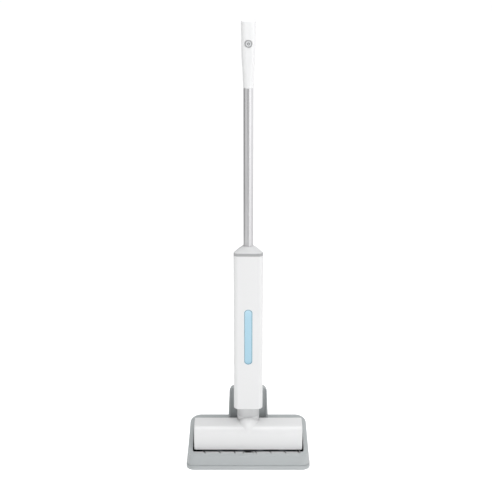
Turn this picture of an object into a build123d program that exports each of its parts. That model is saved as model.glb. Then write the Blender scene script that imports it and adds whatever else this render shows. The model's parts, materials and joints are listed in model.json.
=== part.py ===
from build123d import *
import math
import os

# Wet dry floor scrubber standing in its self-cleaning tray.
# Millimetres. +Z is up, +X is the object's left-to-right width seen from the
# front, and the front faces -Y. The origin is the middle of the tray's base.

# ---- driving dimensions -------------------------------------------------
COLUMN_Y = 15.0            # the upright column stands this far behind the tray's middle

TRAY_HALF_X = 160.5
TRAY_HALF_Y = 80.0
TRAY_FRONT_RADIUS = 22.0
TRAY_REAR_RADIUS = 35.0
FLANGE_HEIGHT = 7.0
FLANGE_TOP = 9.5
FLANGE_FRONT_STEP = 4.0    # ledge between the flange's edge and the wall's foot
FLANGE_SIDE_STEP = 2.2
GROOVE_DEPTH = 0.9         # shadow line round the wall's foot
GROOVE_HEIGHT = 1.3
WALL_DRAFT = 3.5           # degrees
RIM_FRONT_Z = 37.5
RIM_REAR_Z = 82.0
SKIN = 2.5                 # moulded wall of the tray
FOOT_X = 100.0
FOOT_Y = 50.0
FOOT_RADIUS = 9.5
FOOT_HEIGHT = 1.5
PAD_HALF_X = 14.0          # raised pads that the rear wheels stand on
BASIN_HALF_X = 144.2
BASIN_FRONT_Y = -65.5
BASIN_REAR_Y = 62.0
BASIN_FLOOR_Z = 10.0
BASIN_FRONT_RADIUS = 14.0
BASIN_REAR_RADIUS = 26.0
COMB_HALF_X = 143.0
COMB_THICKNESS = 2.6
COMB_SHELF_Z = 27.5
COMB_SLOTS = (-117.2, -78.2, -39.2, 15.8, 53.8, 91.8, 127.5)
COMB_SLOT_WIDTH = 3.0
COMB_NOTCH_HALF_X = 8.5
LINER = 0.9                # wall of the dark drip liner
LINER_DROP = 4.0           # the liner ends this far below the rim

CRADLE_HALF_X = 53.5
CRADLE_INNER_HALF_X = 46.5
CRADLE_FRONT_Y = COLUMN_Y + 27.5
CRADLE_BACK_Y = 50.0       # inside face of the cradle's back wall
CRADLE_REAR_Y = 74.6
CRADLE_DRAFT = 2.3         # degrees
CRADLE_HOLLOW_HALF_X = 40.0
CRADLE_TAPER_Z = 60.0
CRADLE_TOP_Z = 172.0
CRADLE_TOP_HALF_X = 49.2
CRADLE_CORNER = 12.0

HEAD_FLOOR_Z = 14.0        # the plane that the roller and wheels run on
COVER_HALF_X = 140.5
COVER_FRONT_Y = COLUMN_Y - 66.0
COVER_REAR_Y = COLUMN_Y + 42.0
COVER_BOTTOM_Z = 43.6
COVER_TOP_Z = 105.0
COVER_REAR_Z = 74.0
COVER_RIDGE_Y = COLUMN_Y - 5.0
COVER_WALL = 2.4
COVER_CORNER = 3.0
COVER_REAR_CORNER = 14.0
HEAD_PLAY = 0.6            # gap between the cover's inside and the chassis
RECESS_HALF_X = 57.0       # the head is cut back here, around the tray's cradle
RECESS_Y = COLUMN_Y + 26.0
NOTCH_HALF_X = 29.3        # slot in the cover that the neck tilts through

ROLLER_Y = COLUMN_Y - 34.0
ROLLER_Z = 41.0
SLEEVE_RADIUS = 27.0
CORE_RADIUS = 20.0
ROLLER_X0 = -118.0
ROLLER_X1 = 126.0
AXLE_RADIUS = 4.0
PLATE_LEFT_X = (-121.6, -119.0)     # the head's end plates, outside and inside faces
PLATE_RIGHT_X = (127.5, 131.5)
BEARING_RADIUS = 8.0
HOOD_RADIUS = 29.5
COMB_REAR_Y = ROLLER_Y - SLEEVE_RADIUS - 4.3
HOOD_WALL = 2.0

MOTOR_Y = COLUMN_Y + 24.0
MOTOR_Z = 34.0
MOTOR_RADIUS = 13.0
MOTOR_X = (-100.0, -60.0)
MOTOR_SHAFT_RADIUS = 2.5
ROLLER_PULLEY_RADIUS = 15.0
MOTOR_PULLEY_RADIUS = 7.5
BELT_GAP = 0.3
BELT_THICKNESS = 1.5
PULLEY_X = (-133.4, -125.6)
PULLEY_FLANGE = 0.8

WHEEL_X = 110.0
WHEEL_Y = COLUMN_Y + 34.0
WHEEL_RADIUS = 8.0
WHEEL_Z = HEAD_FLOOR_Z + WHEEL_RADIUS
WHEEL_HALF_WIDTH = 4.0
WHEEL_AXLE_RADIUS = 2.0
CHASSIS_BASE_Z = (17.0, 19.5)
BOX_X = (-50.0, 100.0)       # dirty water box
BOX_TOP_Z = 53.0

PIVOT_Z = 88.0
PIN_RADIUS = 5.0
BUSH_WALL = 2.0
EAR_X = (30.0, 36.0)       # the chassis's ears round the pivot pin
RUNNING = 0.05             # radial clearance of a shaft in its bore
NECK_SIZE = 57.0
NECK_CORNER = 20.0
NECK_BACK = 17.0           # the neck reaches this far behind the column's axis
SOCKET_GAP = 0.7           # between the neck and the cover's socket
FAIRING_SIZE = (30.5, 43.0, 29.5)
BARREL_RADIUS = 18.0
NECK_TOP_Z = 117.5
COLLAR_STEP = 0.25
COLLAR_TOP_Z = 144.2
POST_RADIUS = 10.0
POST_BORE = 5.0
POST_BOTTOM_Z = 98.0
POST_TOP_Z = 163.0
CLIP_THICKNESS = 1.7
SWIVEL_BUSH_RADIUS = 14.4

BODY_FRONT = 37.0          # the flat front, from the column's axis
BODY_BACK = 22.3           # the flat strip down the back, from the column's axis
BODY_FRONT_CORNER = 12.0   # the body is a rounded trapezium in plan, narrower behind
BODY_BACK_CORNER = 14.0
BODY_FRONT_HALF_FLAT = 25.0
BODY_BACK_HALF_FLAT = 10.5
BODY_WALL = 2.2
FIT = 0.5                  # play of the inner parts in the body
BODY_BOTTOM_Z = 144.5
BODY_TOP_Z = 564.5
BODY_BOTTOM_FILLET = 3.0
WINDOW_WIDTH = 20.5
WINDOW_BOTTOM_Z = 272.0
WINDOW_TOP_Z = 423.0
WINDOW_RISE = 6.5
WINDOW_RECESS = 0.7
GASKET = 1.1
CAP_RING_TOP_Z = 572.0
CAP_TOP_Z = 582.0

TUBE_RADIUS = 12.0
TUBE_WALL = 1.4
SOCKET_RADIUS = TUBE_RADIUS + 7.0
TUBE_BOTTOM_Z = 546.0
HANDLE_BOTTOM_Z = 979.0
HANDLE_TOP_Z = 1138.0
HANDLE_SCREW_Z = (1066.0, 1120.0)
HANDLE_SCREW_RADIUS = 2.4
BUTTON_Z = 1085.0
BEZEL_RADIUS = 9.35
BUTTON_RADIUS = 6.8
HANDLE_FRONT_Y = COLUMN_Y - 15.5

FILL_Z = 512.0
FILL_BORE = 8.0
FILL_NECK_RADIUS = 10.5
FILL_OPENING_RADIUS = 11.0
CHARGE_Z = 204.0
CHARGE_RADIUS = 6.0
FLAP_GAP = 0.3             # between the rear shell and the caps that lie on it
HINGE_OFFSET = 2.1         # the hinge pins stand this far behind that gap
HINGE_PIN_RADIUS = 1.0
FILL_HINGE_Z = FILL_Z + 17.0
CHARGE_HINGE_Z = CHARGE_Z + 11.5
SCREW_RADIUS = 2.5
SCREW_X = 8.5
SCREW_Z = (240.0, 541.0)
BODY_REAR_Y = COLUMN_Y + BODY_BACK
BODY_FRONT_Y = COLUMN_Y - BODY_FRONT
SPLIT_Y = COLUMN_Y - 12.0
TANK_BOTTOM_Z = 262.0
TANK_HEAD_Z = 486.0        # above this the tank fills the body's whole depth
TANK_TOP_Z = 536.0
TANK_WALL = 1.6
OUTLET_Y = COLUMN_Y - 10.0
HOSE_BORE = 3.0
PUMP_Y = COLUMN_Y - 8.0
PUMP_BASE_Z = 196.0
PUMP_HEAD_Z = (232.0, 246.0)
CELL_RADIUS = 9.2
CELL_LENGTH = 65.0
CELL_PITCH = 67.0
CELL_X = 9.6
CELL_Y = COLUMN_Y + 5.0
CELL_BOTTOM_Z = 272.0
HOLDER_BOTTOM_Z = 226.0
HOLDER_TOP_Z = 475.0
SPINE_Y = COLUMN_Y + 14.6
BOARD_THICKNESS = 1.6


# ---- helpers --------------------------------------------------------------
def block(x0, x1, y0, y1, z0, z1):
    """Box between two corners."""
    middle = Pos((x0 + x1) / 2, (y0 + y1) / 2, (z0 + z1) / 2)
    return middle * Box(x1 - x0, y1 - y0, z1 - z0)


def x_rod(radius, x0, x1, y, z):
    """Cylinder along X."""
    return Pos((x0 + x1) / 2, y, z) * Rot(0, 90, 0) * Cylinder(radius, x1 - x0)


def y_rod(radius, y0, y1, x, z):
    """Cylinder along Y."""
    return Pos(x, (y0 + y1) / 2, z) * Rot(90, 0, 0) * Cylinder(radius, y1 - y0)


def z_rod(radius, z0, z1, x=0.0, y=COLUMN_Y):
    """Cylinder along Z."""
    return Pos(x, y, (z0 + z1) / 2) * Cylinder(radius, z1 - z0)


def hull(discs):
    """Tightest outline round discs given as (x, y, radius), placed on the column's axis."""
    rings = [(Pos(x, y) * Circle(radius)).edge() for x, y, radius in discs]
    return Pos(0, COLUMN_Y) * make_hull(rings)


def body_plan(inset):
    """The body's plan, moved inwards by inset."""
    discs = []
    for side in (-1, 1):
        discs.append((side * BODY_FRONT_HALF_FLAT, BODY_FRONT_CORNER - BODY_FRONT, BODY_FRONT_CORNER - inset))
        discs.append((side * BODY_BACK_HALF_FLAT, BODY_BACK - BODY_BACK_CORNER, BODY_BACK_CORNER - inset))
    return hull(discs)


def body_prism(inset, z0, z1):
    """Upright prism of the body's plan."""
    return Pos(0, 0, z0) * extrude(body_plan(inset), z1 - z0)


def neck_prism(grow, z0, z1):
    """Upright prism of the neck's plan, made larger by grow."""
    side = NECK_SIZE / 2 - NECK_CORNER
    radius = NECK_CORNER + grow
    plan = hull([(x, y, radius) for x in (-side, side) for y in (-side, NECK_BACK - NECK_CORNER)])
    return Pos(0, 0, z0) * extrude(plan, z1 - z0)


def side_profile(points, x0, x1, corners=()):
    """Outline drawn in the Y-Z plane, extruded along X. corners: (y, z, radius)."""
    face = make_face(Polyline(*[(y, z) for y, z in points], close=True))
    for y, z, radius in corners:
        vertex = face.vertices().sort_by_distance(Vector(y, z, 0))[0]
        face = fillet([vertex], radius)
    plane = Plane(origin=(x0, 0, 0), x_dir=(0, 1, 0), z_dir=(1, 0, 0))
    return extrude(plane * face, x1 - x0)


def front_profile(face, y0, y1):
    """Face drawn in the X-Z plane, extruded along Y from y0 to y1."""
    plane = Plane(origin=(0, y0, 0), x_dir=(1, 0, 0), z_dir=(0, -1, 0))
    return extrude(plane * face, -(y1 - y0))


def plan_outline(half_x, y_front, y_rear, front_radius, rear_radius):
    """Rectangle in plan with one radius at its front corners and one at its rear."""
    face = Pos(0, (y_front + y_rear) / 2) * Rectangle(2 * half_x, y_rear - y_front)
    face = fillet(face.vertices().sort_by(Axis.Y)[:2], front_radius)
    return fillet(face.vertices().sort_by(Axis.Y)[-2:], rear_radius)


# ---- tray -----------------------------------------------------------------
def rim_height(y, drop=0.0):
    """Height of the tray's sloping rim at a place along Y."""
    front = -TRAY_HALF_Y + FLANGE_FRONT_STEP
    slope = (RIM_REAR_Z - RIM_FRONT_Z) / (2 * TRAY_HALF_Y - 2 * FLANGE_FRONT_STEP)
    return RIM_FRONT_Z - drop + slope * (y - front)


def below_rim(drop=0.0):
    """Everything under the plane of the rim."""
    reach = 120.0
    points = [(-reach, -5), (reach, -5), (reach, rim_height(reach, drop)), (-reach, rim_height(-reach, drop))]
    return side_profile(points, -200, 200)


def flange_outline(inset):
    """Plan of the tray's flange, moved inwards by inset."""
    return plan_outline(TRAY_HALF_X - inset, inset - TRAY_HALF_Y, TRAY_HALF_Y - inset,
                        TRAY_FRONT_RADIUS - inset, TRAY_REAR_RADIUS - inset)


def wall_outline(inset):
    """Plan of the foot of the tray's wall, moved inwards by inset."""
    side = FLANGE_SIDE_STEP + inset
    front = FLANGE_FRONT_STEP + inset
    return plan_outline(TRAY_HALF_X - side, front - TRAY_HALF_Y, TRAY_HALF_Y - side,
                        TRAY_FRONT_RADIUS - front, TRAY_REAR_RADIUS - side)


def tray_block(inset, drop):
    """The tray's outer form, moved inwards by inset."""
    bottom = extrude(flange_outline(inset), FLANGE_HEIGHT)
    ledge = loft([Pos(0, 0, FLANGE_HEIGHT) * flange_outline(inset),
                  Pos(0, 0, FLANGE_TOP) * wall_outline(inset)])
    upper = Pos(0, 0, FLANGE_TOP - 0.5) * extrude(wall_outline(inset), 90, taper=WALL_DRAFT)
    return bottom + ledge + (upper & below_rim(drop))


def wall_groove():
    """Shallow groove round the foot of the tray's wall."""
    ring = extrude(wall_outline(-3), GROOVE_HEIGHT) - extrude(wall_outline(GROOVE_DEPTH), GROOVE_HEIGHT)
    return Pos(0, 0, FLANGE_TOP) * ring


def basin_block(grow):
    """The space inside the tray, made larger by grow."""
    face = plan_outline(BASIN_HALF_X + grow, BASIN_FRONT_Y - grow, BASIN_REAR_Y + grow,
                        BASIN_FRONT_RADIUS + grow, BASIN_REAR_RADIUS + grow)
    return Pos(0, 0, BASIN_FLOOR_Z - grow) * extrude(face, 120)


def cradle_form():
    """Outer form of the cradle: a thick upright back with a guide at each side."""
    face = plan_outline(CRADLE_HALF_X, CRADLE_FRONT_Y, CRADLE_REAR_Y, 3, 24)
    foot = Pos(0, 0, BASIN_FLOOR_Z - SKIN) * extrude(face, CRADLE_TAPER_Z - BASIN_FLOOR_Z + SKIN)
    draft = math.degrees(math.atan((CRADLE_HALF_X - CRADLE_TOP_HALF_X) / (CRADLE_TOP_Z - CRADLE_TAPER_Z)))
    upper = Pos(0, 0, CRADLE_TAPER_Z) * extrude(face, CRADLE_TOP_Z - CRADLE_TAPER_Z, taper=draft)
    view = make_face(Polyline((-60, 0), (60, 0), (60, CRADLE_TAPER_Z), (CRADLE_TOP_HALF_X, CRADLE_TOP_Z),
                              (-CRADLE_TOP_HALF_X, CRADLE_TOP_Z), (-60, CRADLE_TAPER_Z), close=True))
    view = fillet(view.vertices().sort_by(Axis.Y)[-2:], CRADLE_CORNER)
    return (foot + upper) & front_profile(view, 0, 100)


def cradle_back():
    """The cradle's back, moulded with the tray."""
    return cradle_form() & block(-60, 60, CRADLE_BACK_Y, CRADLE_REAR_Y + 5, 0, 200)


def cradle_guides():
    """Upright guides at the sides of the cradle's channel, fixed to its back and to the basin's floor."""
    form = cradle_form() & block(-60, 60, CRADLE_FRONT_Y - 5, CRADLE_BACK_Y, BASIN_FLOOR_Z, 200)
    inner = CRADLE_INNER_HALF_X
    return [form & block(-60, -inner, 0, 60, 0, 200), form & block(inner, 60, 0, 60, 0, 200)]


def cradle_hollow():
    """Space inside the cradle's thick back, open underneath."""
    face = plan_outline(CRADLE_HOLLOW_HALF_X, CRADLE_BACK_Y + SKIN, CRADLE_REAR_Y - SKIN, 3, 12)
    top = CRADLE_TOP_Z - CRADLE_CORNER - SKIN
    lower = Pos(0, 0, -1) * extrude(face, CRADLE_TAPER_Z + 1)
    return lower + Pos(0, 0, CRADLE_TAPER_Z) * extrude(face, top - CRADLE_TAPER_Z, taper=CRADLE_DRAFT)


def tray_shell():
    """Moulded tray: flange, drafted walls, sloping rim, basin, cradle and wheel pads."""
    hollow = tray_block(SKIN, SKIN) - basin_block(SKIN)
    hollow = hollow + Pos(0, 0, -1) * extrude(
        plan_outline(TRAY_HALF_X - SKIN, SKIN - TRAY_HALF_Y, TRAY_HALF_Y - SKIN, 19, 32), 1.5)
    shell = tray_block(0, 0) - basin_block(0) - hollow
    shell = shell + cradle_back() + (comb_ledge() & basin_block(0.5)) - wall_groove() - cradle_hollow()
    for side in (-1, 1):
        pad_x = side * WHEEL_X
        shell = shell + block(pad_x - PAD_HALF_X, pad_x + PAD_HALF_X, WHEEL_Y - 12, BASIN_REAR_Y + 1,
                              BASIN_FLOOR_Z - 1, HEAD_FLOOR_Z - 0.2)
    for x, y in foot_places():
        shell = shell + z_rod(FOOT_RADIUS + 1.5, FOOT_HEIGHT, BASIN_FLOOR_Z - 1, x, y)
    return shell


def comb_ledge():
    """Shelf at the front of the basin that the comb lies on."""
    return block(-COMB_HALF_X, COMB_HALF_X, BASIN_FRONT_Y - 1, BASIN_FRONT_Y + 5,
                 COMB_SHELF_Z, RIM_FRONT_Z - COMB_THICKNESS - 0.1)


def tray_liner():
    """Dark liner of the basin, open round the cradle and the wheel pads."""
    play = 0.05
    liner = (basin_block(-play) - basin_block(-play - LINER)) & below_rim(LINER_DROP)
    beside = CRADLE_HALF_X + 0.7
    liner = liner - block(-beside, beside, CRADLE_FRONT_Y - 0.7, TRAY_HALF_Y, 0, 200)
    liner = liner - block(-COMB_HALF_X - 0.1, COMB_HALF_X + 0.1, BASIN_FRONT_Y - 1, BASIN_FRONT_Y + 5.2,
                          COMB_SHELF_Z - 0.2, 60)
    liner = liner - block(-BASIN_HALF_X, BASIN_HALF_X, BASIN_FRONT_Y - 1, COMB_REAR_Y + 0.3,
                          RIM_FRONT_Z - COMB_THICKNESS - 0.3, 80)
    pad = PAD_HALF_X + 0.3
    for x in (-WHEEL_X, WHEEL_X):
        liner = liner - block(x - pad, x + pad, WHEEL_Y - 12.3, TRAY_HALF_Y, 0, HEAD_FLOOR_Z + 1)
    return liner


def foot_places():
    """Where the tray's feet are."""
    return [(x, y) for x in (-FOOT_X, FOOT_X) for y in (-FOOT_Y, FOOT_Y)]


def tray_feet():
    """Four rubber feet pressed under the tray's bosses."""
    return [z_rod(FOOT_RADIUS, 0, FOOT_HEIGHT, x, y) for x, y in foot_places()]


def wringer_comb():
    """Toothed strip in front of the roller, with slanting slots and a middle notch."""
    top = RIM_FRONT_Z
    rear = COMB_REAR_Y
    front = BASIN_FRONT_Y + 0.1
    strip = block(-COMB_HALF_X, COMB_HALF_X, front, rear, top - COMB_THICKNESS, top) & basin_block(-0.3)
    for x in COMB_SLOTS:
        strip = strip - comb_slot(x, 6.5, front + 3.5, rear)
    notch = COMB_NOTCH_HALF_X
    strip = strip - block(-notch, notch, rear - 6, rear + 1, top - 4, top + 1)
    strip = strip - comb_slot(-notch - COMB_SLOT_WIDTH, -4.5, front + 4.5, rear)
    return strip - comb_slot(notch, 4.5, front + 4.5, rear)


def comb_slot(x, lean, y0, y1):
    """Slanting slot in the comb: its front end lies lean further along +X."""
    width = COMB_SLOT_WIDTH
    points = [(x + lean, y0), (x + lean + width, y0), (x + width, y1 + 1), (x, y1 + 1)]
    face = make_face(Polyline(*points, close=True))
    return Pos(0, 0, RIM_FRONT_Z - 4) * extrude(face, 6)


# ---- floor head -----------------------------------------------------------
def head_plan(inset):
    """Upright block with the head's outline in plan, moved inwards by inset."""
    return extrude(plan_outline(COVER_HALF_X - inset, COVER_FRONT_Y + inset, COVER_REAR_Y - inset,
                                COVER_CORNER, COVER_REAR_CORNER - inset), 200)


def cover_form(inset):
    """Outer form of the head cover, moved inwards by inset."""
    front = COVER_FRONT_Y + inset
    rear = COVER_REAR_Y - inset
    top = COVER_TOP_Z - inset
    points = [(front, COVER_BOTTOM_Z - 2 * inset), (front, top), (COVER_RIDGE_Y, top),
              (rear, COVER_REAR_Z - inset), (rear, COVER_BOTTOM_Z - 2 * inset)]
    corners = [(front, top, 19.5 - inset), (COVER_RIDGE_Y, top, 20), (rear, COVER_REAR_Z - inset, 9 - inset)]
    half = COVER_HALF_X - inset
    return side_profile(points, -half, half, corners)


def head_cover():
    """Snap-on cover over the roller, with the neck's slot and the cradle's recess."""
    form = cover_form(0)
    side_edges = form.edges().filter_by(Plane.YZ).filter_by(lambda e: e.center().Z > COVER_BOTTOM_Z + 1)
    form = fillet(side_edges, COVER_CORNER) & head_plan(0)
    recess = block(-RECESS_HALF_X, RECESS_HALF_X, RECESS_Y, COVER_REAR_Y + 5, 0, 200)
    fairing = Pos(0, COLUMN_Y - 23, PIVOT_Z) * scale(Sphere(1), FAIRING_SIZE)
    fairing = fairing & block(-60, 60, -100, COLUMN_Y - 10, COVER_TOP_Z - 20, NECK_TOP_Z - 0.7)
    form = form - recess + fairing
    inner_recess = block(-RECESS_HALF_X - COVER_WALL, RECESS_HALF_X + COVER_WALL,
                         RECESS_Y - COVER_WALL, COVER_REAR_Y + 5, 0, 200)
    shell = form - ((cover_form(COVER_WALL) & head_plan(COVER_WALL)) - inner_recess)
    notch = block(-NOTCH_HALF_X, NOTCH_HALF_X, COLUMN_Y, COVER_REAR_Y + 5, 0, 200)
    return shell - notch - neck_prism(SOCKET_GAP, 0, 200)


def pivot_ear(x0, x1):
    """Plate that carries one end of the neck's pivot pin."""
    y = COLUMN_Y
    points = [(y - 32, 71), (y - 6, 56.6), (y + 12, 56.6), (y + 8, PIVOT_Z), (y - 8, PIVOT_Z), (y - 16, 80)]
    return side_profile(points, x0, x1) + x_rod(8, x0, x1, y, PIVOT_Z)


def head_chassis():
    """Moulded frame: roller hood, base, side plates, pivot ears and wheel forks."""
    base_z0, base_z1 = CHASSIS_BASE_Z
    rear = COVER_REAR_Y - COVER_WALL - HEAD_PLAY
    hood_x0 = PLATE_LEFT_X[1]
    hood_x1 = PLATE_RIGHT_X[0]
    outer = x_rod(HOOD_RADIUS + HOOD_WALL, hood_x0, hood_x1, ROLLER_Y, ROLLER_Z)
    inner = x_rod(HOOD_RADIUS, hood_x0 - 2, hood_x1 + 1.5, ROLLER_Y, ROLLER_Z)
    open_front = side_profile([(ROLLER_Y, ROLLER_Z), (ROLLER_Y - 60, ROLLER_Z + 60), (ROLLER_Y - 60, -10),
                               (ROLLER_Y + 20, -10), (ROLLER_Y + 20, base_z0)], -130, 140)
    hood = outer - inner - open_front
    base = block(-134, 134, ROLLER_Y + 20.5, rear, base_z0, base_z1)
    plates = side_plate(*PLATE_LEFT_X) + side_plate(*PLATE_RIGHT_X)
    chassis = hood + base + plates + pivot_ear(*EAR_X) + pivot_ear(-EAR_X[1], -EAR_X[0])
    chassis = chassis - block(-RECESS_HALF_X, RECESS_HALF_X, RECESS_Y, 100, 0, 200)
    for side in (-1, 1):
        well = block(side * WHEEL_X - 5, side * WHEEL_X + 5, WHEEL_Y - 10, WHEEL_Y + 10, 10, 25)
        chassis = chassis - well + wheel_fork(side * WHEEL_X, base_z0)
    chassis = chassis - x_rod(PIN_RADIUS, -40, 40, COLUMN_Y, PIVOT_Z)
    chassis = chassis - x_rod(BEARING_RADIUS, -125, -115, ROLLER_Y, ROLLER_Z)
    chassis = chassis - x_rod(BEARING_RADIUS, 125, 135, ROLLER_Y, ROLLER_Z)
    chassis = chassis - x_rod(MOTOR_SHAFT_RADIUS + 1.5, -125, -115, MOTOR_Y, MOTOR_Z)
    chassis = chassis - x_rod(HOOD_RADIUS, hood_x0, hood_x1, ROLLER_Y, ROLLER_Z)
    return chassis & head_plan(COVER_WALL + HEAD_PLAY)


def side_plate(x0, x1):
    """End plate of the head that holds a roller bearing."""
    rear = COVER_REAR_Y - COVER_WALL - HEAD_PLAY
    base = CHASSIS_BASE_Z[0]
    points = [(ROLLER_Y - 26, 28), (ROLLER_Y - 26, 58), (ROLLER_Y - 18, 68), (ROLLER_Y + 22, 72),
              (rear, 56), (rear, base), (ROLLER_Y + 12, base)]
    return side_profile(points, x0, x1)


def wheel_fork(x, z0):
    """Two lugs beside a rear wheel with the axle's hole."""
    y0 = WHEEL_Y - 6
    y1 = WHEEL_Y + 5
    fork = block(x - 8, x - 5, y0, y1, z0, 28) + block(x + 5, x + 8, y0, y1, z0, 28)
    return fork - x_rod(WHEEL_AXLE_RADIUS, x - 9, x + 9, WHEEL_Y, WHEEL_Z)


def wheel_axles():
    """Steel axle of each rear wheel."""
    return [x_rod(WHEEL_AXLE_RADIUS, x - 8, x + 8, WHEEL_Y, WHEEL_Z) for x in (-WHEEL_X, WHEEL_X)]


def wheel(x):
    """Rear wheel with a rounded tread."""
    tyre = x_rod(WHEEL_RADIUS, x - WHEEL_HALF_WIDTH, x + WHEEL_HALF_WIDTH, WHEEL_Y, WHEEL_Z)
    tyre = fillet(tyre.edges().filter_by(GeomType.CIRCLE), 1.2)
    return tyre - x_rod(WHEEL_AXLE_RADIUS + RUNNING, x - 5, x + 5, WHEEL_Y, WHEEL_Z)


def belt_cover():
    """Plate that closes the belt's compartment at the head's left end."""
    plate = side_plate(-137.6, -135.6)
    posts = x_rod(3, -136, -121.6, ROLLER_Y + 26, 64) + x_rod(3, -136, -121.6, MOTOR_Y + 4, 52)
    return (plate & head_plan(COVER_WALL + HEAD_PLAY - 0.2)) + posts


def roller_end_cap():
    """Round access cap at the head's right end."""
    cap = x_rod(24, 131.5, 134, ROLLER_Y, ROLLER_Z) + x_rod(12, 133, 137, ROLLER_Y, ROLLER_Z)
    cap = cap & block(131, 138, ROLLER_Y - 24, ROLLER_Y + 24, 22, 65)
    grip = block(134, 139, ROLLER_Y - 2.5, ROLLER_Y + 2.5, 30, 52) & x_rod(11, 134, 137.4, ROLLER_Y, ROLLER_Z)
    return cap + grip - x_rod(AXLE_RADIUS + 0.3, 130, 135, ROLLER_Y, ROLLER_Z)


def roller_bearings():
    """Two bushes that the roller's axle turns in."""
    bushes = []
    for x0, x1 in (PLATE_LEFT_X, PLATE_RIGHT_X):
        bore = x_rod(AXLE_RADIUS + RUNNING, x0 - 1.5, x1 + 1.5, ROLLER_Y, ROLLER_Z)
        bushes.append(x_rod(BEARING_RADIUS, x0, x1, ROLLER_Y, ROLLER_Z) - bore)
    return bushes


def roller_sleeve():
    """Microfibre sleeve."""
    sleeve = x_rod(SLEEVE_RADIUS, ROLLER_X0, ROLLER_X1, ROLLER_Y, ROLLER_Z)
    sleeve = fillet(sleeve.edges().filter_by(GeomType.CIRCLE), 3)
    return sleeve - x_rod(CORE_RADIUS, ROLLER_X0 - 1, ROLLER_X1 + 1, ROLLER_Y, ROLLER_Z)


def roller_core():
    """Plastic tube with a hub at each end, pressed on the axle."""
    tube = x_rod(CORE_RADIUS, ROLLER_X0, ROLLER_X1, ROLLER_Y, ROLLER_Z)
    tube = tube - x_rod(CORE_RADIUS - 2.5, ROLLER_X0 + 6, ROLLER_X1 - 6, ROLLER_Y, ROLLER_Z)
    tube = tube + x_rod(7, ROLLER_X0 + 5, ROLLER_X1 - 5, ROLLER_Y, ROLLER_Z)
    return tube - x_rod(AXLE_RADIUS, ROLLER_X0 - 1, ROLLER_X1 + 1, ROLLER_Y, ROLLER_Z)


def roller_axle():
    """Steel axle through the roller."""
    return x_rod(AXLE_RADIUS, PULLEY_X[0] - 1.2, PLATE_RIGHT_X[1] + 1.5, ROLLER_Y, ROLLER_Z)


def pulley(radius, bore, y, z):
    """Flanged belt pulley."""
    x0, x1 = PULLEY_X
    flanges = x_rod(radius + 0.9, x0 - PULLEY_FLANGE, x0, y, z)
    flanges = flanges + x_rod(radius + 0.9, x1, x1 + PULLEY_FLANGE, y, z)
    return x_rod(radius, x0, x1, y, z) + flanges - x_rod(bore, x0 - 2.6, x1 + 5.6, y, z)


def drive_belt():
    """Closed belt round the two pulleys."""
    def loop(extra, x0, x1):
        """Solid inside the belt's line, extra outside the pulleys."""
        big = ROLLER_PULLEY_RADIUS + extra
        small = MOTOR_PULLEY_RADIUS + extra
        span_y = MOTOR_Y - ROLLER_Y
        span_z = MOTOR_Z - ROLLER_Z
        distance = math.hypot(span_y, span_z)
        along = math.atan2(span_z, span_y)
        lean = math.acos((big - small) / distance)
        roller = (big, ROLLER_Y, ROLLER_Z)
        motor = (small, MOTOR_Y, MOTOR_Z)
        upper, lower = along + lean, along - lean
        points = []
        for turn, (radius, y, z) in ((upper, roller), (upper, motor), (lower, motor), (lower, roller)):
            points.append((y + radius * math.cos(turn), z + radius * math.sin(turn)))
        rounds = x_rod(big, x0, x1, ROLLER_Y, ROLLER_Z) + x_rod(small, x0, x1, MOTOR_Y, MOTOR_Z)
        return rounds + side_profile(points, x0, x1)
    outer = loop(BELT_GAP + BELT_THICKNESS, PULLEY_X[0] + 0.8, PULLEY_X[1] - 0.8)
    return outer - loop(BELT_GAP, PULLEY_X[0] - 0.6, PULLEY_X[1] + 0.6)


def roller_motor():
    """Motor can with its front boss."""
    front, back = MOTOR_X
    can = x_rod(MOTOR_RADIUS, front, back, MOTOR_Y, MOTOR_Z)
    can = fillet(can.edges().filter_by(GeomType.CIRCLE), 1.5)
    boss = x_rod(5, front - 4, front + 1, MOTOR_Y, MOTOR_Z)
    return can + boss - x_rod(MOTOR_SHAFT_RADIUS + RUNNING, front - 5, front + 5, MOTOR_Y, MOTOR_Z)


def motor_mount():
    """Saddle that holds the motor on the chassis."""
    front, back = MOTOR_X
    saddle = block(front + 2, back - 6, MOTOR_Y - 14, MOTOR_Y + 13, CHASSIS_BASE_Z[1], MOTOR_Z)
    return saddle - x_rod(MOTOR_RADIUS, front - 10, back + 10, MOTOR_Y, MOTOR_Z)


def motor_shaft():
    """Motor shaft."""
    return x_rod(MOTOR_SHAFT_RADIUS, PULLEY_X[0] - 1.2, MOTOR_X[0] + 4.5, MOTOR_Y, MOTOR_Z)


def dirty_water_box():
    """Open-topped tray behind the roller that collects dirty water."""
    y0 = COLUMN_Y - 1.0
    y1 = RECESS_Y - COVER_WALL - HEAD_PLAY
    x0, x1 = BOX_X
    floor = CHASSIS_BASE_Z[1]
    outer = block(x0, x1, y0, y1, floor, BOX_TOP_Z)
    outer = fillet(outer.edges().filter_by(Axis.Z), 3)
    return outer - block(x0 + 2, x1 - 2, y0 + 2, y1 - 2, floor + 2, BOX_TOP_Z + 7)


def dirty_box_lid():
    """Lid of the dirty water box, with an inlet slot towards the roller."""
    y0 = COLUMN_Y - 1.0
    y1 = RECESS_Y - COVER_WALL - HEAD_PLAY
    x0, x1 = BOX_X
    lid = block(x0, x1, y0, y1, BOX_TOP_Z, BOX_TOP_Z + 2.5)
    lid = fillet(lid.edges().filter_by(Axis.Z), 3)
    return lid - block(x0 + 10, x1 - 10, y0 + 3, y0 + 7, BOX_TOP_Z - 3, BOX_TOP_Z + 7)


def squeegee():
    """Rubber blade behind the roller that wipes the floor."""
    return block(-112, 120, COLUMN_Y - 9, COLUMN_Y - 6.5, HEAD_FLOOR_Z + 0.3, CHASSIS_BASE_Z[0])


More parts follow.
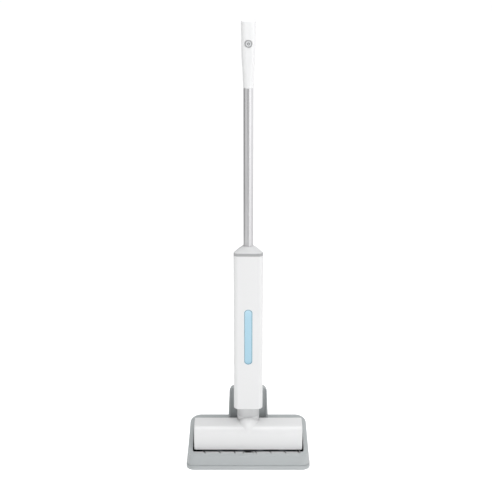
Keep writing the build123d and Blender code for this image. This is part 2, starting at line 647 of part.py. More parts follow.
def wetting_bar():
    """Water channel on the hood that wets the roller through a row of nozzles."""
    bar = block(-90, 90, ROLLER_Y - 12, ROLLER_Y + 4, 62, 78)
    bar = bar - x_rod(HOOD_RADIUS + HOOD_WALL, -100, 100, ROLLER_Y, ROLLER_Z)
    return fillet(bar.edges().filter_by(Axis.X).group_by(Axis.Z)[-1], 1.5)


def pivot_pin():
    """Steel pin that the neck tilts on."""
    return x_rod(PIN_RADIUS, -EAR_X[1], EAR_X[1], COLUMN_Y, PIVOT_Z)


def belt_cover_screws():
    """Screws that hold the belt's cover."""
    screws = []
    for y, z in ((ROLLER_Y + 26, 64), (MOTOR_Y + 4, 52)):
        screws.append(x_rod(2.2, -137.85, -137.6, y, z))
    return screws


# ---- neck -------------------------------------------------------------------
def neck_block():
    """Knuckle of the neck: a barrel on the pivot that grows into a rounded square."""
    barrel = x_rod(BARREL_RADIUS, -NECK_SIZE / 2, NECK_SIZE / 2, COLUMN_Y, PIVOT_Z)
    column = neck_prism(0, 101, NECK_TOP_Z)
    web = block(-NECK_SIZE / 2, NECK_SIZE / 2, COLUMN_Y - 17, COLUMN_Y + 17, PIVOT_Z, 104)
    neck = barrel + column + (web & neck_prism(0, 80, 120))
    neck = neck - x_rod(PIN_RADIUS + BUSH_WALL, -EAR_X[0], EAR_X[0], COLUMN_Y, PIVOT_Z)
    return neck - z_rod(POST_RADIUS, POST_BOTTOM_Z, NECK_TOP_Z + 2.5)


def pivot_bushes():
    """Two bushes in the knuckle's bore."""
    bushes = []
    for side in (-1, 1):
        ring = x_rod(PIN_RADIUS + BUSH_WALL, side * 20 - 8.5, side * 20 + 8.5, COLUMN_Y, PIVOT_Z)
        bushes.append(ring - x_rod(PIN_RADIUS + RUNNING, -EAR_X[0], EAR_X[0], COLUMN_Y, PIVOT_Z))
    return bushes


def neck_collar():
    """Grey collar between the knuckle and the body."""
    collar = neck_prism(COLLAR_STEP, NECK_TOP_Z, COLLAR_TOP_Z)
    collar = fillet(collar.edges().group_by(Axis.Z)[0], 1.2)
    return collar - z_rod(POST_RADIUS, 110, 150)


def swivel_post():
    """Hollow post of the neck that the body turns on."""
    return z_rod(POST_RADIUS, POST_BOTTOM_Z, POST_TOP_Z) - z_rod(POST_BORE, POST_BOTTOM_Z - 1, POST_TOP_Z + 7)


def post_clip():
    """Retaining ring near the top of the post."""
    low = POST_TOP_Z - CLIP_THICKNESS
    return z_rod(POST_RADIUS + 3, low, POST_TOP_Z) - z_rod(POST_RADIUS, low - 1, POST_TOP_Z + 2)


# ---- column -------------------------------------------------------------------
def window_face(width, z0, z1):
    """Window outline: a tall slot with flattened round ends."""
    rise = WINDOW_RISE
    half = width / 2
    low = Line((-half, z0 + rise), (-half, z1 - rise))
    top = ThreePointArc((-half, z1 - rise), (0, z1), (half, z1 - rise))
    high = Line((half, z1 - rise), (half, z0 + rise))
    bottom = ThreePointArc((half, z0 + rise), (0, z0), (-half, z0 + rise))
    return make_face(Curve() + [low, top, high, bottom])


def body_tube():
    """The whole hollow body before it is split into its two shells."""
    outer = body_prism(0, BODY_BOTTOM_Z, BODY_TOP_Z)
    outer = fillet(outer.edges().group_by(Axis.Z)[0], BODY_BOTTOM_FILLET)
    inner = body_prism(BODY_WALL, BODY_BOTTOM_Z + 3, BODY_TOP_Z + 1)
    return outer - inner - z_rod(SWIVEL_BUSH_RADIUS, BODY_BOTTOM_Z - 1, BODY_BOTTOM_Z + 5)


def front_shell():
    """Front half of the body, with the window's opening."""
    half = body_tube() & block(-60, 60, BODY_FRONT_Y - 10, SPLIT_Y, 100, 600)
    opening = window_face(WINDOW_WIDTH + 2 * GASKET, WINDOW_BOTTOM_Z - GASKET, WINDOW_TOP_Z + GASKET)
    return half - front_profile(opening, BODY_FRONT_Y - 5, BODY_FRONT_Y + 5)


def rear_shell():
    """Rear half of the body, with the filling and charging openings and screw holes."""
    half = body_tube() & block(-60, 60, SPLIT_Y, BODY_REAR_Y + 10, 100, 600)
    half = half - y_rod(FILL_OPENING_RADIUS, BODY_REAR_Y - 5, BODY_REAR_Y + 5, 0, FILL_Z)
    half = half - y_rod(CHARGE_RADIUS, BODY_REAR_Y - 5, BODY_REAR_Y + 5, 0, CHARGE_Z)
    for x, z in body_screw_places():
        half = half - y_rod(SCREW_RADIUS, BODY_REAR_Y - 5, BODY_REAR_Y + 5, x, z)
    return half


def body_screw_places():
    """Where the screws through the rear shell are."""
    return [(x, z) for x in (-SCREW_X, SCREW_X) for z in SCREW_Z]


def body_screws():
    """Screws through the rear shell, and the one that pins the tube in its socket."""
    return [y_rod(SCREW_RADIUS, BODY_REAR_Y - BODY_WALL - 1.5, BODY_REAR_Y - 0.5, x, z)
            for x, z in body_screw_places()] + [tube_screw()]


def window_gasket():
    """Thin frame round the window."""
    opening = window_face(WINDOW_WIDTH + 2 * GASKET, WINDOW_BOTTOM_Z - GASKET, WINDOW_TOP_Z + GASKET)
    lens = window_face(WINDOW_WIDTH, WINDOW_BOTTOM_Z, WINDOW_TOP_Z)
    outer = front_profile(opening, BODY_FRONT_Y, BODY_FRONT_Y + BODY_WALL)
    return outer - front_profile(lens, BODY_FRONT_Y - 1, BODY_FRONT_Y + 9)


def window_lens():
    """Blue window in front of the clean water tank."""
    face = window_face(WINDOW_WIDTH, WINDOW_BOTTOM_Z, WINDOW_TOP_Z)
    return front_profile(face, BODY_FRONT_Y + WINDOW_RECESS, BODY_FRONT_Y + BODY_WALL)


def tank_form(inset):
    """Form of the clean water tank, moved inwards by inset."""
    room = body_prism(BODY_WALL + FIT + inset, 200, 600)
    half = 30 - inset
    low = block(-half, half, -60, CELL_Y - CELL_RADIUS - 1 - inset, TANK_BOTTOM_Z + inset, TANK_HEAD_Z + 14)
    high = block(-half, half, -60, COLUMN_Y + 16 - inset, TANK_HEAD_Z + inset, TANK_TOP_Z - inset)
    return room & (low + high)


def water_tank():
    """Clean water tank: a tall front part and a full-depth head with the filler neck."""
    neck = y_rod(FILL_NECK_RADIUS, COLUMN_Y + 15, BODY_REAR_Y - 0.4, 0, FILL_Z)
    bore = y_rod(FILL_BORE, COLUMN_Y + 8, BODY_REAR_Y + 1, 0, FILL_Z)
    outlet = z_rod(HOSE_BORE, TANK_BOTTOM_Z - 7, TANK_BOTTOM_Z + 2, 0, OUTLET_Y)
    outlet = outlet + z_rod(HOSE_BORE + 2.5, TANK_BOTTOM_Z - 5.5, TANK_BOTTOM_Z + 0.5, 0, OUTLET_Y)
    tank = tank_form(0) + neck + outlet - tank_form(TANK_WALL) - bore
    return tank - z_rod(HOSE_BORE - 1.2, TANK_BOTTOM_Z - 12, TANK_BOTTOM_Z + 8, 0, OUTLET_Y)


def tank_seal():
    """Rubber ring round the filler neck."""
    ring = y_rod(FILL_OPENING_RADIUS, BODY_REAR_Y - 3.4, BODY_REAR_Y - 0.4, 0, FILL_Z)
    return ring - y_rod(FILL_NECK_RADIUS, BODY_REAR_Y - 5, BODY_REAR_Y + 1, 0, FILL_Z)


def fill_cap():
    """Hinged cap of the filling opening, with a plug and a lug at its top."""
    y0 = BODY_REAR_Y + FLAP_GAP
    disc = y_rod(14, y0, y0 + 2.5, 0, FILL_Z)
    disc = fillet(disc.edges().group_by(Axis.Y)[-1], 1)
    plug = y_rod(6.5, y0 - 3, y0, 0, FILL_Z)
    return disc + plug + hinge_lug(6, y0, y0 + 3.4, FILL_Z + 12, FILL_HINGE_Z) - hinge_bore(FILL_HINGE_Z)


def hinge_lug(half, y0, y1, z0, z1):
    """Knuckle that a cap or a flap swings on, from z0 up to its pin at z1."""
    return block(-half, half, y0, y1, z0, z1) + x_rod(HINGE_OFFSET, -half, half, y0 + HINGE_OFFSET, z1)


def hinge_bore(z):
    """Bore of a hinge at height z."""
    return x_rod(HINGE_PIN_RADIUS + RUNNING, -8, 8, BODY_REAR_Y + FLAP_GAP + HINGE_OFFSET, z)


def hinge_bracket(z, half, y0):
    """Two small ears and a pin on the rear shell that a flap hangs on."""
    tall = HINGE_OFFSET
    ears = block(-half - 2.3, -half - 0.3, y0 - FLAP_GAP, y0 + 3.6, z - tall, z + tall)
    ears = ears + block(half + 0.3, half + 2.3, y0 - FLAP_GAP, y0 + 3.6, z - tall, z + tall)
    return ears + x_rod(HINGE_PIN_RADIUS, -half - 2, half + 2, y0 + HINGE_OFFSET, z)


def flap_hinges():
    """Hinge pins and ears of the filling cap and of the charging flap."""
    y0 = BODY_REAR_Y + FLAP_GAP
    return [hinge_bracket(FILL_HINGE_Z, 6, y0), hinge_bracket(CHARGE_HINGE_Z, 5, y0)]


def charge_socket():
    """Round charging socket behind the flap."""
    barrel = y_rod(CHARGE_RADIUS, BODY_REAR_Y - 12, BODY_REAR_Y - 0.8, 0, CHARGE_Z)
    return barrel - y_rod(3.2, BODY_REAR_Y - 10, BODY_REAR_Y + 1, 0, CHARGE_Z)


def charge_flap():
    """Small flap over the charging socket."""
    y0 = BODY_REAR_Y + FLAP_GAP
    plate = block(-9, 9, y0, y0 + 2, CHARGE_Z - 10, CHARGE_Z + 8.5)
    plate = fillet(plate.edges().filter_by(Axis.Y), 3.5)
    return plate + hinge_lug(5, y0, y0 + 3.2, CHARGE_Z + 6, CHARGE_HINGE_Z) - hinge_bore(CHARGE_HINGE_Z)


def swivel_bush():
    """Bush in the body's floor that turns on the neck's post."""
    floor = BODY_BOTTOM_Z + 3
    top = POST_TOP_Z - CLIP_THICKNESS - 0.3
    bush = z_rod(SWIVEL_BUSH_RADIUS, BODY_BOTTOM_Z, floor) + z_rod(17, floor, top)
    return bush - z_rod(POST_RADIUS + RUNNING, 140, 165)


def water_pump():
    """Pump between the tank and the neck."""
    low, high = PUMP_HEAD_Z
    motor = z_rod(12, PUMP_BASE_Z, low, 0, PUMP_Y)
    head = block(-13, 13, PUMP_Y - 13, PUMP_Y + 13, low, high)
    inlet = z_rod(HOSE_BORE, high, high + 6, 0, OUTLET_Y)
    return motor + fillet(head.edges().filter_by(Axis.Z), 3) + inlet


def pump_bracket():
    """Plate that carries the pump across the body."""
    plate = body_prism(BODY_WALL + FIT, PUMP_BASE_Z - 3, PUMP_BASE_Z)
    return plate - z_rod(4, PUMP_BASE_Z - 6, PUMP_BASE_Z + 4, 20, COLUMN_Y)


def water_hoses():
    """Hose from the tank to the pump, and hose from the pump down to the neck's post."""
    return [tank_hose(), neck_hose()]


def tank_hose():
    """Short hose from the tank to the pump."""
    top = TANK_BOTTOM_Z - 5.5
    low = PUMP_HEAD_Z[1] + 5
    return z_rod(HOSE_BORE + 1.2, low, top, 0, OUTLET_Y) - z_rod(HOSE_BORE, low - 1, top + 3.5, 0, OUTLET_Y)


def neck_hose():
    """Hose from the pump down to the neck's post."""
    low = POST_TOP_Z + 3
    return z_rod(3.4, low, PUMP_BASE_Z - 3) - z_rod(2.2, low - 6, PUMP_BASE_Z + 4)


def battery_cells():
    """Six round cells in two stacks."""
    cells = []
    for x in (-CELL_X, CELL_X):
        for row in range(3):
            z0 = CELL_BOTTOM_Z + row * CELL_PITCH
            cells.append(z_rod(CELL_RADIUS, z0, z0 + CELL_LENGTH, x, CELL_Y))
    return cells


def battery_holder():
    """End plates and spine that hold the cells, trimmed to the room inside the body."""
    spine = block(-20, 20, SPINE_Y, SPINE_Y + BOARD_THICKNESS, HOLDER_BOTTOM_Z, HOLDER_TOP_Z)
    plates = spine
    for z in (269, 337, 404, 471):
        plates = plates + block(-19, 19, CELL_Y - CELL_RADIUS, SPINE_Y + 1, z, z + 2)
    for cell in battery_cells():
        plates = plates - cell
    return plates & body_prism(BODY_WALL + FIT, HOLDER_BOTTOM_Z, HOLDER_TOP_Z)


def control_board():
    """Circuit board behind the battery, with its chips."""
    y0 = SPINE_Y + BOARD_THICKNESS
    y1 = y0 + BOARD_THICKNESS
    board = block(-16, 16, y0, y1, 300, 420)
    chips = ((-12, 330, 6), (6, 330, 8), (-4, 372, 10), (10, 400, 5))
    for x, z, size in chips:
        board = board + block(x - size / 2, x + size / 2, y1, y1 + 1.2, z - size / 2, z + size / 2)
    return board


def cap_ring():
    """Darker band round the top of the body."""
    ring = body_prism(0.3, BODY_TOP_Z, CAP_RING_TOP_Z)
    return ring - z_rod(SOCKET_RADIUS, 560, 580)


def top_cap():
    """Shallow pyramid that leads from the body to the tube, with the tube's socket."""
    offset = 3.0
    rim = TUBE_RADIUS + 1.2 - offset * (math.sqrt(2) - 0.1)
    high = hull([(x, y, rim) for x in (-offset, offset) for y in (-offset, offset)])
    cone = loft([Pos(0, 0, CAP_RING_TOP_Z) * body_plan(0.75), Pos(0, 0, CAP_TOP_Z) * high])
    socket = z_rod(SOCKET_RADIUS, TUBE_BOTTOM_Z + 2, CAP_RING_TOP_Z)
    plug = body_prism(BODY_WALL + 0.2, 556, BODY_TOP_Z)
    return cone + socket + plug - z_rod(TUBE_RADIUS, TUBE_BOTTOM_Z, 600) - tube_screw()


def tube_screw():
    """Screw that pins the tube in its socket."""
    return y_rod(2, COLUMN_Y + 8, COLUMN_Y + 18.6, 0, 553)


def tube():
    """Aluminium tube."""
    pipe = z_rod(TUBE_RADIUS, TUBE_BOTTOM_Z + 3, HANDLE_BOTTOM_Z)
    return pipe - z_rod(TUBE_RADIUS - TUBE_WALL, TUBE_BOTTOM_Z, HANDLE_BOTTOM_Z + 1) - tube_screw()


# ---- handle -------------------------------------------------------------------
def handle_section(z, width, depth, corner):
    """Rounded rectangle across the handle at height z."""
    return Pos(0, COLUMN_Y, z) * RectangleRounded(width, depth, corner)


def handle_form():
    """Outer form of the handle: round at the tube, wider and flatter at the top."""
    lower = loft([handle_section(HANDLE_BOTTOM_Z, 24.8, 24.8, 12.35), handle_section(1006, 26.8, 26.2, 12.0),
                  handle_section(1052, 32.8, 30.2, 12.0)])
    upper = loft([handle_section(1052, 32.8, 30.2, 12.0), handle_section(1100, 33.8, 31, 12.0),
                  handle_section(HANDLE_TOP_Z, 35.2, 31, 12.0)])
    upper = fillet(upper.edges().group_by(Axis.Z)[-1], 2.0)
    return lower + upper


def handle_body():
    """Handle with its spigot, cavity and button opening, before it is split."""
    form = handle_form()
    cavity = block(-11, 11, COLUMN_Y - 11, COLUMN_Y + 11, 1050, 1130)
    spigot = z_rod(TUBE_RADIUS - TUBE_WALL, 950, HANDLE_BOTTOM_Z + 1)
    form = form + spigot - cavity
    return form - y_rod(BEZEL_RADIUS, HANDLE_FRONT_Y - 5, COLUMN_Y - 5, 0, BUTTON_Z)


def handle_front():
    """Front half of the handle."""
    return handle_body() & block(-40, 40, -60, COLUMN_Y, 900, 1200)


def handle_rear():
    """Rear half of the handle, with its screw holes."""
    half = handle_body() & block(-40, 40, COLUMN_Y, 90, 900, 1200)
    for z in HANDLE_SCREW_Z:
        half = half - y_rod(HANDLE_SCREW_RADIUS, COLUMN_Y + 9, COLUMN_Y + 30, 0, z)
    return half


def handle_screws():
    """Two screws in the back of the handle."""
    return [y_rod(HANDLE_SCREW_RADIUS, COLUMN_Y + 9, COLUMN_Y + 14.4, 0, z) for z in HANDLE_SCREW_Z]


def button_bezel():
    """Ring round the power button."""
    ring = y_rod(BEZEL_RADIUS, HANDLE_FRONT_Y - 0.5, HANDLE_FRONT_Y + 3.5, 0, BUTTON_Z)
    return ring - y_rod(BUTTON_RADIUS + 0.3, HANDLE_FRONT_Y - 2, HANDLE_FRONT_Y + 6, 0, BUTTON_Z)


def power_button():
    """Round push button."""
    button = y_rod(BUTTON_RADIUS, HANDLE_FRONT_Y - 0.2, HANDLE_FRONT_Y + 2.2, 0, BUTTON_Z)
    return button + y_rod(2, HANDLE_FRONT_Y + 2.2, HANDLE_FRONT_Y + 3.2, 0, BUTTON_Z)


def button_board():
    """Small board with the switch behind the power button."""
    board = block(-10.8, 10.8, HANDLE_FRONT_Y + 6.8, HANDLE_FRONT_Y + 8.2, 1062, 1108)
    switch = block(-3.2, 3.2, HANDLE_FRONT_Y + 4.8, HANDLE_FRONT_Y + 6.8, BUTTON_Z - 3.2, BUTTON_Z + 3.2)
    return board + switch


PARTS = {
    "tray_shell": tray_shell,
    "tray_liner": tray_liner,
    "cradle_guides": cradle_guides,
    "tray_feet": tray_feet,
    "wringer_comb": wringer_comb,
    "head_cover": head_cover,
    "head_chassis": head_chassis,
    "belt_cover": belt_cover,
    "roller_end_cap": roller_end_cap,
    "roller_bearings": roller_bearings,
    "roller_sleeve": roller_sleeve,
    "roller_core": roller_core,
    "roller_axle": roller_axle,
    "roller_pulley": lambda: pulley(ROLLER_PULLEY_RADIUS, AXLE_RADIUS, ROLLER_Y, ROLLER_Z),
    "motor_pulley": lambda: pulley(MOTOR_PULLEY_RADIUS, MOTOR_SHAFT_RADIUS, MOTOR_Y, MOTOR_Z),
    "motor_shaft": motor_shaft,
    "roller_motor": roller_motor,
    "motor_mount": motor_mount,
    "drive_belt": drive_belt,
    "wheel_left": lambda: wheel(-WHEEL_X),
    "wheel_right": lambda: wheel(WHEEL_X),
    "wheel_axles": wheel_axles,
    "dirty_water_box": dirty_water_box,
    "dirty_box_lid": dirty_box_lid,
    "squeegee": squeegee,
    "wetting_bar": wetting_bar,
    "pivot_pin": pivot_pin,
    "belt_cover_screws": belt_cover_screws,
    "neck_block": neck_block,
    "pivot_bushes": pivot_bushes,
    "neck_collar": neck_collar,
    "swivel_post": swivel_post,
    "post_clip": post_clip,
    "front_shell": front_shell,
    "rear_shell": rear_shell,
    "body_screws": body_screws,
    "window_gasket": window_gasket,
    "window_lens": window_lens,
    "water_tank": water_tank,
    "tank_seal": tank_seal,
    "fill_cap": fill_cap,
    "flap_hinges": flap_hinges,
    "charge_flap": charge_flap,
    "charge_socket": charge_socket,
    "swivel_bush": swivel_bush,
    "water_pump": water_pump,
    "pump_bracket": pump_bracket,
    "water_hoses": water_hoses,
    "battery_cells": battery_cells,
    "battery_holder": battery_holder,
    "control_board": control_board,
    "cap_ring": cap_ring,
    "top_cap": top_cap,
    "tube": tube,
    "handle_front": handle_front,
    "handle_rear": handle_rear,
    "handle_screws": handle_screws,
    "button_bezel": button_bezel,
    "power_button": power_button,
    "button_board": button_board,
}


def main():
    """Write one STEP file per sub-part."""
    os.makedirs("parts", exist_ok=True)
    for name, make in PARTS.items():
        shape = make()
        if isinstance(shape, list):
            shape = Compound(children=shape)
        export_step(shape, f"parts/{name}.step")


main()
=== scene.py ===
"""Looks of the wet dry floor scrubber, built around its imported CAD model. Metres, +Z up, front faces -Y."""
import json
import math

import bmesh
import bpy
import numpy as np
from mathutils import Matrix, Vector

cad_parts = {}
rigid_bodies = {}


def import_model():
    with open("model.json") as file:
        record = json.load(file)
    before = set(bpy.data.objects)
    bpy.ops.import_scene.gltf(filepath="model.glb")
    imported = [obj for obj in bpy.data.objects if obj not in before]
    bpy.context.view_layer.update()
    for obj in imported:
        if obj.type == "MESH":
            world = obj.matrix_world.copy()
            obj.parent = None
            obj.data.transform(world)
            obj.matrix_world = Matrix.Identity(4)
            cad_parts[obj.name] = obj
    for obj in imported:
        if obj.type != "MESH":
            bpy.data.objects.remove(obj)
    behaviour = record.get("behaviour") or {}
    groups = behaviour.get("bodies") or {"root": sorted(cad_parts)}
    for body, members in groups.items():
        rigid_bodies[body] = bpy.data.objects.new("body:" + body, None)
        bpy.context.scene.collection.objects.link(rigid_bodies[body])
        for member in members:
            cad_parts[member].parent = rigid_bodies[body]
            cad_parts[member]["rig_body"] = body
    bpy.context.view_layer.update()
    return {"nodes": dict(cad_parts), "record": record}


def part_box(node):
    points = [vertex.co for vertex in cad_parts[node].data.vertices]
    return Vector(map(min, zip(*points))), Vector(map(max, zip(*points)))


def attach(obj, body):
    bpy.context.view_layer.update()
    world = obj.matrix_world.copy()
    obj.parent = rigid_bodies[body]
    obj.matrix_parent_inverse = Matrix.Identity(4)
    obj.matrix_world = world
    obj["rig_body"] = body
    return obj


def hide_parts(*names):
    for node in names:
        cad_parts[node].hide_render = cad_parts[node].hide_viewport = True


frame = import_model()
NODES = frame["nodes"]
MM = 0.001


# ---- places taken from the CAD model ----------------------------------------
def middle(node):
    """Centre of a CAD node's box."""
    low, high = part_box(node)
    return (low + high) / 2


COLUMN_Y = middle("tube").y
SLEEVE_LOW, SLEEVE_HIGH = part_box("roller_sleeve")
SLEEVE_MID = middle("roller_sleeve")
SLEEVE_RADIUS = (SLEEVE_HIGH.z - SLEEVE_LOW.z) / 2
BUTTON_FRONT_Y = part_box("power_button")[0].y
BUTTON_MID = middle("power_button")
LENS_LOW, LENS_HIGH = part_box("window_lens")
SHELL_SCREW_Z = (0.240, 0.541)

# ---- sizes of the added pieces ------------------------------------------------
WINDOW_END_RISE = 6.5 * MM    # how far the window's rounded ends stand up
LINE_MARGIN = 0.5 * MM
LINE_WIDTH = 1.0 * MM
SYMBOL_INNER = 2.1 * MM
SYMBOL_OUTER = 3.3 * MM
SYMBOL_BAR_HALF = 0.6 * MM
SYMBOL_BAR = (0.4 * MM, 3.5 * MM)
SYMBOL_GAP = math.radians(38)
SCREW_RADIUS = 2.4 * MM
SCREW_DOME = 0.35 * MM
SCREW_CROSS_DEPTH = 0.45 * MM
PILE_HEIGHT = 0.9 * MM
PILE_EDGE = 3.0 * MM
TUFT_PITCH = 3.6 * MM
TUFTS_AROUND = 52

# ---- camera: metres, and degrees below the horizontal -------------------------
CAMERA_DISTANCE = 2.6
CAMERA_HEIGHT = 1.45
CAMERA_TILT = 18.5
CAMERA_LENS = 80.1            # millimetres

# ---- tones --------------------------------------------------------------------
# share of the window's height and colour there: painted shade darkens its foot, painted light lifts its top
WINDOW_SHADE_STOPS = (
    (0.0, (0.27, 0.49, 0.62)), (0.07, (0.37, 0.60, 0.73)),
    (0.85, (0.40, 0.63, 0.76)), (1.0, (0.46, 0.68, 0.81)),
)


# ---- node-tree helpers ------------------------------------------------------
def new_material(name):
    """New node material, returned with its tree and its Principled shader."""
    material = bpy.data.materials.new(name)
    material.use_nodes = True
    tree = material.node_tree
    return material, tree, tree.nodes["Principled BSDF"]


def node(tree, kind, **inputs):
    """New node with some of its inputs set by name."""
    made = tree.nodes.new(kind)
    for key, value in inputs.items():
        made.inputs[key.replace("_", " ")].default_value = value
    return made


def object_coords(tree, scale=(1, 1, 1)):
    """Object coordinates, stretched by scale."""
    coords = tree.nodes.new("ShaderNodeTexCoord")
    mapping = node(tree, "ShaderNodeMapping", Scale=scale)
    tree.links.new(coords.outputs["Object"], mapping.inputs["Vector"])
    return mapping.outputs["Vector"]


def noise(tree, vector, scale, detail=3.0, rough=0.5):
    """Noise texture's factor output."""
    made = node(tree, "ShaderNodeTexNoise", Scale=scale, Detail=detail, Roughness=rough)
    tree.links.new(vector, made.inputs["Vector"])
    return made.outputs["Fac"]


def remap(tree, value, low, high, start=0.3, end=0.7):
    """Factor between start and end, spread between low and high."""
    made = node(tree, "ShaderNodeMapRange")
    for key, number in (("From Min", start), ("From Max", end), ("To Min", low), ("To Max", high)):
        made.inputs[key].default_value = number
    tree.links.new(value, made.inputs["Value"])
    return made.outputs["Result"]


def tint(tree, value, dark, light, start=0.3, end=0.7):
    """Colour between dark and light, driven by value."""
    ramp = tree.nodes.new("ShaderNodeValToRGB")
    ramp.color_ramp.elements[0].position = start
    ramp.color_ramp.elements[0].color = (*dark, 1)
    ramp.color_ramp.elements[1].position = end
    ramp.color_ramp.elements[1].color = (*light, 1)
    tree.links.new(value, ramp.inputs["Fac"])
    return ramp.outputs["Color"]


def height_ramp(tree, low_z, high_z, stops):
    """Colour that changes with height: stops give a share of the way from low_z to high_z and its colour."""
    split = tree.nodes.new("ShaderNodeSeparateXYZ")
    tree.links.new(object_coords(tree), split.inputs["Vector"])
    ramp = tree.nodes.new("ShaderNodeValToRGB")
    elements = ramp.color_ramp.elements
    while len(elements) < len(stops):
        elements.new(1.0)
    for element, (share, colour) in zip(elements, stops):
        element.position = share
        element.color = (*colour, 1)
    tree.links.new(remap(tree, split.outputs["Z"], 0.0, 1.0, low_z, high_z), ramp.inputs["Fac"])
    return ramp.outputs["Color"]


def bump(tree, shader, height, strength, distance, under=None):
    """Bump into the shader's normal, laid over the one under it; gives its own output back."""
    made = node(tree, "ShaderNodeBump", Strength=strength, Distance=distance)
    tree.links.new(height, made.inputs["Height"])
    if under is not None:
        tree.links.new(under, made.inputs["Normal"])
    tree.links.new(made.outputs["Normal"], shader.inputs["Normal"])
    return made.outputs["Normal"]


def shade(colour, factor):
    """Colour multiplied by factor."""
    return tuple(min(1.0, c * factor) for c in colour)


# ---- materials --------------------------------------------------------------
def plastic(name, colour, rough, grain=900.0, relief=0.12, spread=0.03, coat=0.0):
    """Moulded plastic: fine spark-eroded grain, faint mottling, roughness that drifts."""
    material, tree, shader = new_material(name)
    coords = object_coords(tree)
    mottle = tint(tree, noise(tree, coords, 9.0, 4.0), shade(colour, 1 - spread), shade(colour, 1 + spread))
    tree.links.new(mottle, shader.inputs["Base Color"])
    patches = noise(tree, coords, 38.0, 5.0)
    tree.links.new(remap(tree, patches, rough * 0.86, rough * 1.14), shader.inputs["Roughness"])
    fine = noise(tree, coords, grain, 2.0)
    wave = noise(tree, coords, 22.0, 1.0)
    soft = bump(tree, shader, wave, 0.08, 0.0004)
    bump(tree, shader, fine, relief, 0.00006, soft)
    shader.inputs["Specular IOR Level"].default_value = 0.42
    shader.inputs["Coat Weight"].default_value = coat
    shader.inputs["Coat Roughness"].default_value = 0.25
    return material


def rubber(name, colour):
    """Matt rubber with a dusty bloom."""
    material, tree, shader = new_material(name)
    coords = object_coords(tree)
    bloom = noise(tree, coords, 60.0, 6.0)
    tree.links.new(tint(tree, bloom, shade(colour, 0.8), shade(colour, 1.5)), shader.inputs["Base Color"])
    shader.inputs["Roughness"].default_value = 0.82
    bump(tree, shader, noise(tree, coords, 1400.0, 2.0), 0.3, 0.0001)
    return material


def brushed_metal(name, colour, rough, scale, metallic=1.0, relief=0.15):
    """Metal with fine lines: scale stretches the noise along the brushing."""
    material, tree, shader = new_material(name)
    coords = object_coords(tree, scale)
    lines = noise(tree, coords, 1.0, 6.0, 0.6)
    tree.links.new(tint(tree, lines, shade(colour, 0.93), shade(colour, 1.06)), shader.inputs["Base Color"])
    tree.links.new(remap(tree, lines, rough * 0.8, rough * 1.25), shader.inputs["Roughness"])
    shader.inputs["Metallic"].default_value = metallic
    bump(tree, shader, lines, relief, 0.00004)
    return material


def microfibre(name, colour, stripe):
    """Short pile: woolly bump, soft sheen and a pale spiral stripe."""
    material, tree, shader = new_material(name)
    coords = object_coords(tree)
    tufts = noise(tree, coords, 520.0, 5.0, 0.7)
    base = tint(tree, tufts, shade(colour, 0.72), shade(colour, 1.1), 0.35, 0.65)
    wave = node(tree, "ShaderNodeTexWave", Scale=11.0, Distortion=2.2, Detail=3.0)
    wave.bands_direction = "DIAGONAL"
    tree.links.new(coords, wave.inputs["Vector"])
    mix = tree.nodes.new("ShaderNodeMix")
    mix.data_type = "RGBA"
    tree.links.new(remap(tree, wave.outputs["Fac"], 0.0, 0.8, 0.72, 0.86), mix.inputs["Factor"])
    tree.links.new(base, mix.inputs["A"])
    mix.inputs["B"].default_value = (*stripe, 1)
    tree.links.new(mix.outputs["Result"], shader.inputs["Base Color"])
    shader.inputs["Roughness"].default_value = 0.95
    shader.inputs["Sheen Weight"].default_value = 0.5
    shader.inputs["Sheen Roughness"].default_value = 0.5
    bump(tree, shader, tufts, 0.9, 0.0012)
    return material


def window_plastic(name, low_z, high_z):
    """Pale blue window with painted shade at its foot and painted light at its top, and a clear glossy face.
    """
    material, tree, shader = new_material(name)
    # colour by height: painted shade at the window's foot, painted light at its top
    tree.links.new(height_ramp(tree, low_z, high_z, WINDOW_SHADE_STOPS), shader.inputs["Base Color"])
    shader.inputs["Roughness"].default_value = 0.16
    shader.inputs["Coat Weight"].default_value = 0.5
    shader.inputs["Coat Roughness"].default_value = 0.06
    bump(tree, shader, noise(tree, object_coords(tree), 18.0, 2.0), 0.05, 0.0006)
    return material


def clear_plastic(name, colour):
    """Milky translucent plastic."""
    material, tree, shader = new_material(name)
    coords = object_coords(tree)
    cloud = noise(tree, coords, 14.0, 3.0)
    tree.links.new(tint(tree, cloud, shade(colour, 0.95), shade(colour, 1.04)), shader.inputs["Base Color"])
    shader.inputs["Roughness"].default_value = 0.22
    shader.inputs["Transmission Weight"].default_value = 0.35
    shader.inputs["IOR"].default_value = 1.46
    bump(tree, shader, noise(tree, coords, 300.0, 2.0), 0.06, 0.0002)
    return material


def board(name, colour):
    """Circuit board: solder mask with faint copper tracks."""
    material, tree, shader = new_material(name)
    coords = object_coords(tree, (900.0, 900.0, 900.0))
    tracks = tree.nodes.new("ShaderNodeTexBrick")
    tracks.inputs["Scale"].default_value = 0.35
    tracks.inputs["Color1"].default_value = (*colour, 1)
    tracks.inputs["Color2"].default_value = (*shade(colour, 1.25), 1)
    tracks.inputs["Mortar"].default_value = (*shade(colour, 2.1), 1)
    tree.links.new(coords, tracks.inputs["Vector"])
    tree.links.new(tracks.outputs["Color"], shader.inputs["Base Color"])
    shader.inputs["Roughness"].default_value = 0.35
    bump(tree, shader, tracks.outputs["Fac"], 0.2, 0.0001)
    return material


